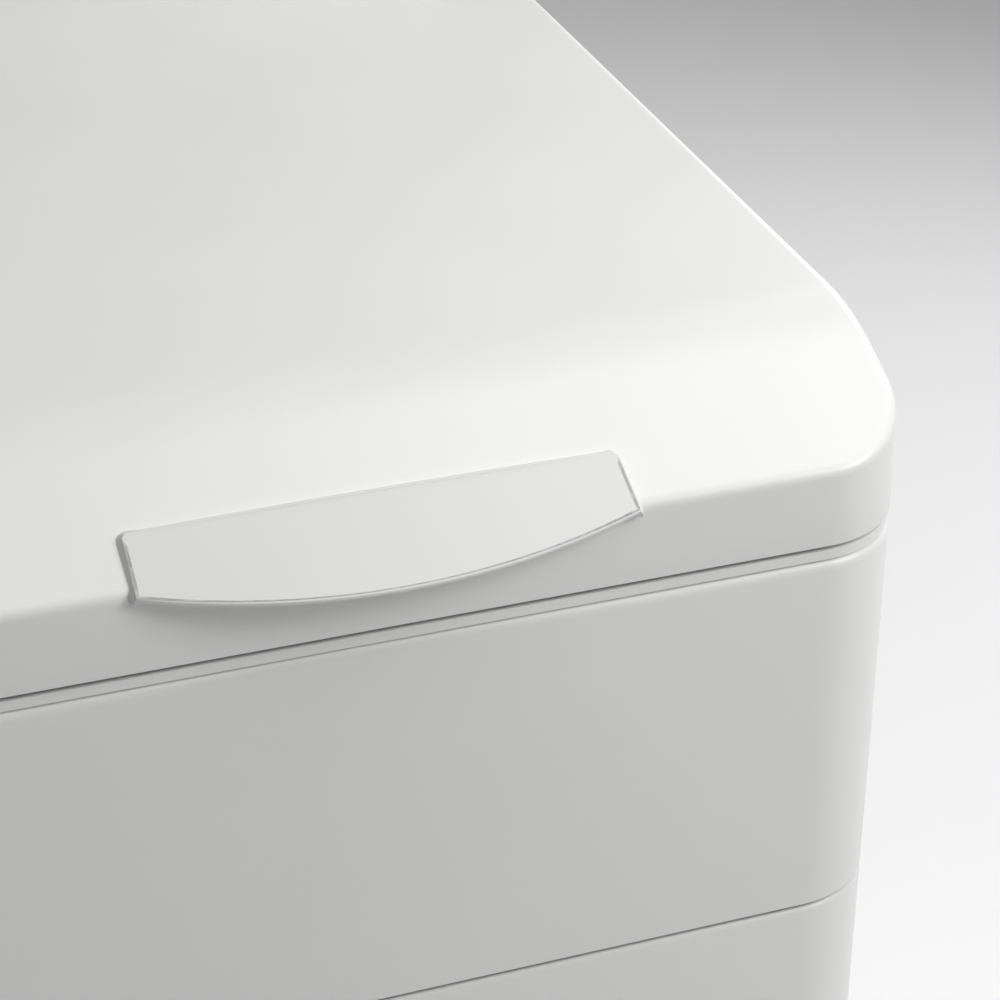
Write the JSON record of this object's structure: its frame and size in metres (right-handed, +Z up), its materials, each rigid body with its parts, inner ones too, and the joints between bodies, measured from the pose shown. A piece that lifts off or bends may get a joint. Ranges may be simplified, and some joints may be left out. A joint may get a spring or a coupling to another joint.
{
  "type": "trash compactor",
  "caption": "Freestanding trash compactor with a hinged top lid, a bag tray, a screw-driven ram and a bin drawer opened by a foot pedal.",
  "frame": {"origin": "on the floor, at the middle of the outer box", "axes": "+Z up, front facing -Y, +X to the right of someone facing the front"},
  "size_m": [0.381, 0.6248, 0.914],
  "materials": {
    "enamel": "satin",
    "white_plastic": "satin",
    "grey_plastic": "matte",
    "black_plastic": "matte",
    "zinc": "satin",
    "steel": "satin",
    "dark_steel": "satin",
    "grey_paint": "satin",
    "rubber": "matte",
    "charcoal": "matte",
    "amber": "gloss",
    "red_plastic": "satin",
    "board": "matte"
  },
  "bodies": {
    "cabinet": {"cabinet_wrapper": "enamel", "rear_panel": "zinc", "power_inlet": "black_plastic", "top_deck": "enamel", "bag_tray": "grey_plastic", "odour_filter": "charcoal", "filter_cradle": "white_plastic", "hinge_bracket_left": "zinc", "hinge_bracket_right": "zinc", "console_housing": "white_plastic", "console_fascia": "grey_plastic", "indicator_lens": "amber", "control_board": "board", "base_frame": "zinc", "bearing_plate": "zinc", "levelling_foot_1": "rubber", "levelling_foot_2": "rubber", "levelling_foot_3": "rubber", "levelling_foot_4": "rubber", "toe_kick": "enamel", "column_left": "zinc", "column_right": "zinc", "lower_bearing_left": "steel", "lower_bearing_right": "steel", "upper_bearing_left": "dark_steel", "upper_bearing_right": "dark_steel", "motor": "dark_steel", "drive_chain": "steel", "rail_fixed_left": "zinc", "rail_fixed_right": "zinc"},
    "lid": {"lid_shell": "enamel", "lid_handle": "enamel", "lid_liner": "white_plastic", "lid_seal": "rubber", "hinge_arm_left": "zinc", "hinge_arm_right": "zinc"},
    "start_button": {"start_button": "white_plastic"},
    "stop_button": {"stop_button": "red_plastic"},
    "key": {"key_knob": "black_plastic"},
    "pedal": {"foot_pedal": "black_plastic", "pedal_shaft": "steel", "drawer_latch": "dark_steel"},
    "screw_left": {"power_screw_left": "steel", "sprocket_left": "dark_steel"},
    "screw_right": {"power_screw_right": "steel", "sprocket_right": "dark_steel"},
    "motor_shaft": {"motor_sprocket": "dark_steel"},
    "ram": {"ram_nut_left": "white_plastic", "ram_nut_right": "white_plastic", "ram_yoke": "grey_paint", "ram_box": "grey_paint"},
    "middle_rails": {"rail_middle_left": "zinc", "rail_middle_right": "zinc"},
    "drawer": {"drawer_front": "enamel", "drawer_liner": "grey_paint", "drawer_handle": "enamel", "drawer_carrier": "grey_paint", "bin": "grey_paint", "rail_drawer_left": "steel", "rail_drawer_right": "steel"}
  },
  "joints": [
    {"name": "lid_hinge", "type": "hinge", "parent": "cabinet", "child": "lid", "pos_m": [0, 0.19145, 0.848], "axis": [-1, 0, 0], "range_deg": [0, 85]},
    {"name": "drawer_slide", "type": "slide", "parent": "cabinet", "child": "drawer", "axis": [0, -1, 0], "range_m": [0, 0.38]},
    {"name": "middle_rail_slide", "type": "slide", "parent": "cabinet", "child": "middle_rails", "axis": [0, -1, 0], "range_m": [0, 0.19]},
    {"name": "ram_drive", "type": "slide", "parent": "cabinet", "child": "ram", "axis": [0, 0, -1], "range_m": [0, 0.19]},
    {"name": "screw_left_spin", "type": "hinge", "parent": "cabinet", "child": "screw_left", "pos_m": [-0.166, -0.06155, 0.4], "axis": [0, 0, 1], "range_deg": [0, 6841]},
    {"name": "screw_right_spin", "type": "hinge", "parent": "cabinet", "child": "screw_right", "pos_m": [0.166, -0.06155, 0.4], "axis": [0, 0, 1], "range_deg": [0, 6841]},
    {"name": "motor_shaft_spin", "type": "hinge", "parent": "cabinet", "child": "motor_shaft", "pos_m": [0, 0.22745, 0.06], "axis": [0, 0, 1], "range_deg": [0, 7981]},
    {"name": "start_press", "type": "slide", "parent": "cabinet", "child": "start_button", "axis": [0, 0.9171, -0.3987], "range_m": [0, 0.003], "stiffness_N_per_m": 300, "springref_m": -0.001},
    {"name": "stop_press", "type": "slide", "parent": "cabinet", "child": "stop_button", "axis": [0, 0.9171, -0.3987], "range_m": [0, 0.003], "stiffness_N_per_m": 300, "springref_m": -0.001},
    {"name": "key_turn", "type": "hinge", "parent": "cabinet", "child": "key", "pos_m": [-0.09, 0.21995, 0.86015], "axis": [0, -0.9171, 0.3987], "range_deg": [0, 90]},
    {"name": "pedal_press", "type": "hinge", "parent": "cabinet", "child": "pedal", "pos_m": [0, -0.21955, 0.062], "axis": [1, 0, 0], "range_deg": [0, 12], "stiffness_Nm_per_rad": 3, "springref_deg": -5.73}
  ],
  "couplings": [
    {"joint": "middle_rail_slide", "follows": "drawer_slide", "ratio": 0.5},
    {"joint": "screw_left_spin", "follows": "ram_drive", "rad_per_m": 628.32},
    {"joint": "screw_right_spin", "follows": "ram_drive", "rad_per_m": 628.32},
    {"joint": "motor_shaft_spin", "follows": "ram_drive", "rad_per_m": 733.04}
  ]
}
